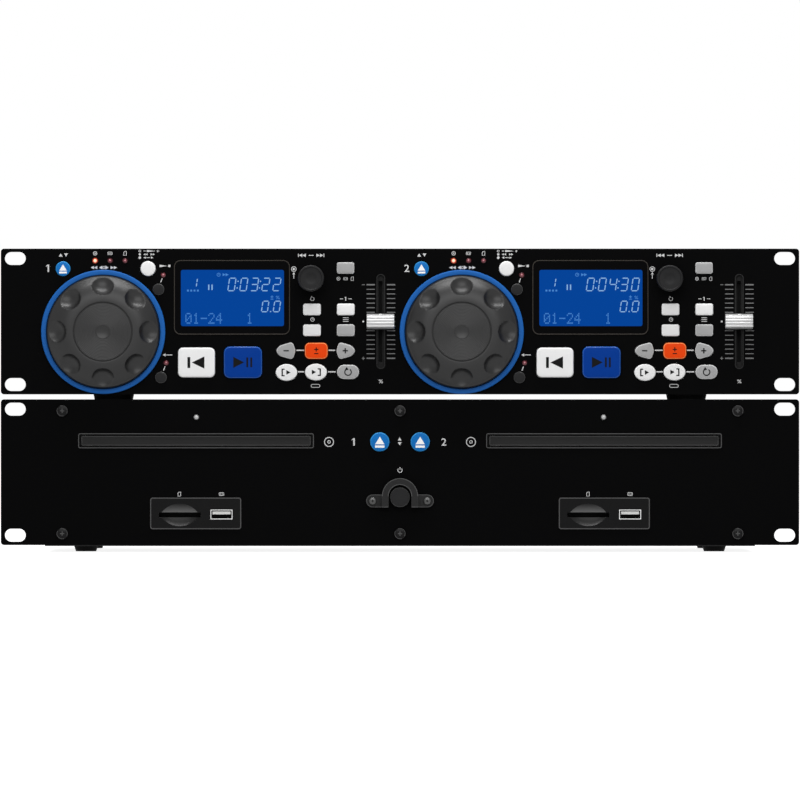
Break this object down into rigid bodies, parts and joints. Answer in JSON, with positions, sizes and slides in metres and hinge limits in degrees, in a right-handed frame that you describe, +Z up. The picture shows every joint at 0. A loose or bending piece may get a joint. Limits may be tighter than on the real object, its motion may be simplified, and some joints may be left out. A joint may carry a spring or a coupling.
{
  "type": "dual disc player with a separate control unit",
  "caption": "Rack-mount disc player for mixing: a control unit with jog wheels, displays, keys and pitch faders stands on a drive unit with disc trays.",
  "frame": {"origin": "on the standing surface, under the middle of the whole stack", "axes": "+X to the right along the panels, +Y from the front panels to the rear, +Z up"},
  "size_m": [0.4826, 0.271, 0.1832],
  "materials": {
    "black_paint": "satin black powder coat",
    "black_steel": "black sheet steel",
    "dark_plastic": "fine grained dark plastic",
    "tray_plastic": "dark grey tray plastic",
    "wheel_plastic": "soft dark grey plastic",
    "white_plastic": "white key plastic",
    "grey_plastic": "grey key plastic",
    "blue_plastic": "blue key plastic",
    "blue_trim": "blue ring and display window",
    "orange_plastic": "orange lit key",
    "silver_cap": "silver slider cap",
    "steel": "bright steel",
    "screw_steel": "blackened steel",
    "board": "green board with fittings",
    "rubber": "black rubber"
  },
  "bodies": {
    "drive_unit": {"drive_front_panel": "black_paint", "drive_chassis": "black_steel", "drive_top_cover": "black_steel", "drive_panel_trim": "dark_plastic", "disc_loaders": "steel", "drive_electronics": "board", "drive_screws": "screw_steel", "drive_feet": "rubber"},
    "control_unit": {"control_front_panel": "black_paint", "control_case": "black_steel", "control_panel_trim": "blue_trim", "control_electronics": "board", "control_feet": "rubber"},
    "eject_button_a": {"eject_button_a": "blue_plastic"},
    "mode_button_a": {"mode_button_a": "white_plastic"},
    "brake_button_a": {"brake_button_a": "dark_plastic"},
    "reverse_button_a": {"reverse_button_a": "dark_plastic"},
    "cue_button_a": {"cue_button_a": "white_plastic"},
    "play_button_a": {"play_button_a": "blue_plastic"},
    "source_button_a": {"source_button_a": "grey_plastic"},
    "repeat_button_a": {"repeat_button_a": "white_plastic"},
    "single_button_a": {"single_button_a": "white_plastic"},
    "time_button_a": {"time_button_a": "white_plastic"},
    "program_button_a": {"program_button_a": "grey_plastic"},
    "pitch_minus_button_a": {"pitch_minus_button_a": "grey_plastic"},
    "pitch_button_a": {"pitch_button_a": "orange_plastic"},
    "pitch_plus_button_a": {"pitch_plus_button_a": "grey_plastic"},
    "loop_in_button_a": {"loop_in_button_a": "white_plastic"},
    "loop_out_button_a": {"loop_out_button_a": "white_plastic"},
    "reloop_button_a": {"reloop_button_a": "grey_plastic"},
    "jog_wheel_a": {"jog_wheel_a": "wheel_plastic"},
    "search_shaft_a": {"search_shaft_a": "steel"},
    "search_knob_a": {"search_knob_a": "dark_plastic"},
    "pitch_fader_a": {"pitch_fader_a": "silver_cap"},
    "eject_button_b": {"eject_button_b": "blue_plastic"},
    "mode_button_b": {"mode_button_b": "white_plastic"},
    "brake_button_b": {"brake_button_b": "dark_plastic"},
    "reverse_button_b": {"reverse_button_b": "dark_plastic"},
    "cue_button_b": {"cue_button_b": "white_plastic"},
    "play_button_b": {"play_button_b": "blue_plastic"},
    "source_button_b": {"source_button_b": "grey_plastic"},
    "repeat_button_b": {"repeat_button_b": "white_plastic"},
    "single_button_b": {"single_button_b": "white_plastic"},
    "time_button_b": {"time_button_b": "white_plastic"},
    "program_button_b": {"program_button_b": "grey_plastic"},
    "pitch_minus_button_b": {"pitch_minus_button_b": "grey_plastic"},
    "pitch_button_b": {"pitch_button_b": "orange_plastic"},
    "pitch_plus_button_b": {"pitch_plus_button_b": "grey_plastic"},
    "loop_in_button_b": {"loop_in_button_b": "white_plastic"},
    "loop_out_button_b": {"loop_out_button_b": "white_plastic"},
    "reloop_button_b": {"reloop_button_b": "grey_plastic"},
    "jog_wheel_b": {"jog_wheel_b": "wheel_plastic"},
    "search_shaft_b": {"search_shaft_b": "steel"},
    "search_knob_b": {"search_knob_b": "dark_plastic"},
    "pitch_fader_b": {"pitch_fader_b": "silver_cap"},
    "disc_tray_a": {"disc_tray_a": "tray_plastic"},
    "drive_eject_button_a": {"drive_eject_button_a": "blue_plastic"},
    "disc_tray_b": {"disc_tray_b": "tray_plastic"},
    "drive_eject_button_b": {"drive_eject_button_b": "blue_plastic"},
    "power_button": {"power_button": "dark_plastic"}
  },
  "joints": [
    {"name": "control_unit_lift", "type": "slide", "parent": "drive_unit", "child": "control_unit", "axis": [0, 0, 1], "range_m": [0, 0.05]},
    {"name": "eject_button_a_press", "type": "slide", "parent": "control_unit", "child": "eject_button_a", "axis": [0, 1, 0], "range_m": [0, 0.0012], "stiffness_N_per_m": 200},
    {"name": "mode_button_a_press", "type": "slide", "parent": "control_unit", "child": "mode_button_a", "axis": [0, 1, 0], "range_m": [0, 0.0012], "stiffness_N_per_m": 200},
    {"name": "brake_button_a_press", "type": "slide", "parent": "control_unit", "child": "brake_button_a", "axis": [0, 1, 0], "range_m": [0, 0.0012], "stiffness_N_per_m": 200},
    {"name": "reverse_button_a_press", "type": "slide", "parent": "control_unit", "child": "reverse_button_a", "axis": [0, 1, 0], "range_m": [0, 0.0012], "stiffness_N_per_m": 200},
    {"name": "cue_button_a_press", "type": "slide", "parent": "control_unit", "child": "cue_button_a", "axis": [0, 1, 0], "range_m": [0, 0.0012], "stiffness_N_per_m": 200},
    {"name": "play_button_a_press", "type": "slide", "parent": "control_unit", "child": "play_button_a", "axis": [0, 1, 0], "range_m": [0, 0.0012], "stiffness_N_per_m": 200},
    {"name": "source_button_a_press", "type": "slide", "parent": "control_unit", "child": "source_button_a", "axis": [0, 1, 0], "range_m": [0, 0.0012], "stiffness_N_per_m": 200},
    {"name": "repeat_button_a_press", "type": "slide", "parent": "control_unit", "child": "repeat_button_a", "axis": [0, 1, 0], "range_m": [0, 0.0012], "stiffness_N_per_m": 200},
    {"name": "single_button_a_press", "type": "slide", "parent": "control_unit", "child": "single_button_a", "axis": [0, 1, 0], "range_m": [0, 0.0012], "stiffness_N_per_m": 200},
    {"name": "time_button_a_press", "type": "slide", "parent": "control_unit", "child": "time_button_a", "axis": [0, 1, 0], "range_m": [0, 0.0012], "stiffness_N_per_m": 200},
    {"name": "program_button_a_press", "type": "slide", "parent": "control_unit", "child": "program_button_a", "axis": [0, 1, 0], "range_m": [0, 0.0012], "stiffness_N_per_m": 200},
    {"name": "pitch_minus_button_a_press", "type": "slide", "parent": "control_unit", "child": "pitch_minus_button_a", "axis": [0, 1, 0], "range_m": [0, 0.0012], "stiffness_N_per_m": 200},
    {"name": "pitch_button_a_press", "type": "slide", "parent": "control_unit", "child": "pitch_button_a", "axis": [0, 1, 0], "range_m": [0, 0.0012], "stiffness_N_per_m": 200},
    {"name": "pitch_plus_button_a_press", "type": "slide", "parent": "control_unit", "child": "pitch_plus_button_a", "axis": [0, 1, 0], "range_m": [0, 0.0012], "stiffness_N_per_m": 200},
    {"name": "loop_in_button_a_press", "type": "slide", "parent": "control_unit", "child": "loop_in_button_a", "axis": [0, 1, 0], "range_m": [0, 0.0012], "stiffness_N_per_m": 200},
    {"name": "loop_out_button_a_press", "type": "slide", "parent": "control_unit", "child": "loop_out_button_a", "axis": [0, 1, 0], "range_m": [0, 0.0012], "stiffness_N_per_m": 200},
    {"name": "reloop_button_a_press", "type": "slide", "parent": "control_unit", "child": "reloop_button_a", "axis": [0, 1, 0], "range_m": [0, 0.0012], "stiffness_N_per_m": 200},
    {"name": "jog_wheel_a_turn", "type": "hinge", "parent": "control_unit", "child": "jog_wheel_a", "pos_m": [-0.1794, -0.1185, 0.13285], "axis": [0, 1, 0], "continuous": true},
    {"name": "search_shaft_a_push", "type": "slide", "parent": "control_unit", "child": "search_shaft_a", "axis": [0, 1, 0], "range_m": [0, 0.0005], "stiffness_N_per_m": 300},
    {"name": "search_knob_a_turn", "type": "hinge", "parent": "search_shaft_a", "child": "search_knob_a", "pos_m": [-0.0538, -0.1185, 0.16515], "axis": [0, 1, 0], "continuous": true},
    {"name": "pitch_fader_a_slide", "type": "slide", "parent": "control_unit", "child": "pitch_fader_a", "axis": [0, 0, 1], "range_m": [-0.0221, 0.0221]},
    {"name": "eject_button_b_press", "type": "slide", "parent": "control_unit", "child": "eject_button_b", "axis": [0, 1, 0], "range_m": [0, 0.0012], "stiffness_N_per_m": 200},
    {"name": "mode_button_b_press", "type": "slide", "parent": "control_unit", "child": "mode_button_b", "axis": [0, 1, 0], "range_m": [0, 0.0012], "stiffness_N_per_m": 200},
    {"name": "brake_button_b_press", "type": "slide", "parent": "control_unit", "child": "brake_button_b", "axis": [0, 1, 0], "range_m": [0, 0.0012], "stiffness_N_per_m": 200},
    {"name": "reverse_button_b_press", "type": "slide", "parent": "control_unit", "child": "reverse_button_b", "axis": [0, 1, 0], "range_m": [0, 0.0012], "stiffness_N_per_m": 200},
    {"name": "cue_button_b_press", "type": "slide", "parent": "control_unit", "child": "cue_button_b", "axis": [0, 1, 0], "range_m": [0, 0.0012], "stiffness_N_per_m": 200},
    {"name": "play_button_b_press", "type": "slide", "parent": "control_unit", "child": "play_button_b", "axis": [0, 1, 0], "range_m": [0, 0.0012], "stiffness_N_per_m": 200},
    {"name": "source_button_b_press", "type": "slide", "parent": "control_unit", "child": "source_button_b", "axis": [0, 1, 0], "range_m": [0, 0.0012], "stiffness_N_per_m": 200},
    {"name": "repeat_button_b_press", "type": "slide", "parent": "control_unit", "child": "repeat_button_b", "axis": [0, 1, 0], "range_m": [0, 0.0012], "stiffness_N_per_m": 200},
    {"name": "single_button_b_press", "type": "slide", "parent": "control_unit", "child": "single_button_b", "axis": [0, 1, 0], "range_m": [0, 0.0012], "stiffness_N_per_m": 200},
    {"name": "time_button_b_press", "type": "slide", "parent": "control_unit", "child": "time_button_b", "axis": [0, 1, 0], "range_m": [0, 0.0012], "stiffness_N_per_m": 200},
    {"name": "program_button_b_press", "type": "slide", "parent": "control_unit", "child": "program_button_b", "axis": [0, 1, 0], "range_m": [0, 0.0012], "stiffness_N_per_m": 200},
    {"name": "pitch_minus_button_b_press", "type": "slide", "parent": "control_unit", "child": "pitch_minus_button_b", "axis": [0, 1, 0], "range_m": [0, 0.0012], "stiffness_N_per_m": 200},
    {"name": "pitch_button_b_press", "type": "slide", "parent": "control_unit", "child": "pitch_button_b", "axis": [0, 1, 0], "range_m": [0, 0.0012], "stiffness_N_per_m": 200},
    {"name": "pitch_plus_button_b_press", "type": "slide", "parent": "control_unit", "child": "pitch_plus_button_b", "axis": [0, 1, 0], "range_m": [0, 0.0012], "stiffness_N_per_m": 200},
    {"name": "loop_in_button_b_press", "type": "slide", "parent": "control_unit", "child": "loop_in_button_b", "axis": [0, 1, 0], "range_m": [0, 0.0012], "stiffness_N_per_m": 200},
    {"name": "loop_out_button_b_press", "type": "slide", "parent": "control_unit", "child": "loop_out_button_b", "axis": [0, 1, 0], "range_m": [0, 0.0012], "stiffness_N_per_m": 200},
    {"name": "reloop_button_b_press", "type": "slide", "parent": "control_unit", "child": "reloop_button_b", "axis": [0, 1, 0], "range_m": [0, 0.0012], "stiffness_N_per_m": 200},
    {"name": "jog_wheel_b_turn", "type": "hinge", "parent": "control_unit", "child": "jog_wheel_b", "pos_m": [0.0373, -0.1185, 0.13285], "axis": [0, 1, 0], "continuous": true},
    {"name": "search_shaft_b_push", "type": "slide", "parent": "control_unit", "child": "search_shaft_b", "axis": [0, 1, 0], "range_m": [0, 0.0005], "stiffness_N_per_m": 300},
    {"name": "search_knob_b_turn", "type": "hinge", "parent": "search_shaft_b", "child": "search_knob_b", "pos_m": [0.1629, -0.1185, 0.16515], "axis": [0, 1, 0], "continuous": true},
    {"name": "pitch_fader_b_slide", "type": "slide", "parent": "control_unit", "child": "pitch_fader_b", "axis": [0, 0, 1], "range_m": [-0.0221, 0.0221]},
    {"name": "disc_tray_a_slide", "type": "slide", "parent": "drive_unit", "child": "disc_tray_a", "axis": [0, -1, 0], "range_m": [0, 0.135]},
    {"name": "drive_eject_button_a_press", "type": "slide", "parent": "drive_unit", "child": "drive_eject_button_a", "axis": [0, 1, 0], "range_m": [0, 0.0012], "stiffness_N_per_m": 200},
    {"name": "disc_tray_b_slide", "type": "slide", "parent": "drive_unit", "child": "disc_tray_b", "axis": [0, -1, 0], "range_m": [0, 0.135]},
    {"name": "drive_eject_button_b_press", "type": "slide", "parent": "drive_unit", "child": "drive_eject_button_b", "axis": [0, 1, 0], "range_m": [0, 0.0012], "stiffness_N_per_m": 200},
    {"name": "power_button_press", "type": "slide", "parent": "drive_unit", "child": "power_button", "axis": [0, 1, 0], "range_m": [0, 0.0035], "stiffness_N_per_m": 300}
  ]
}
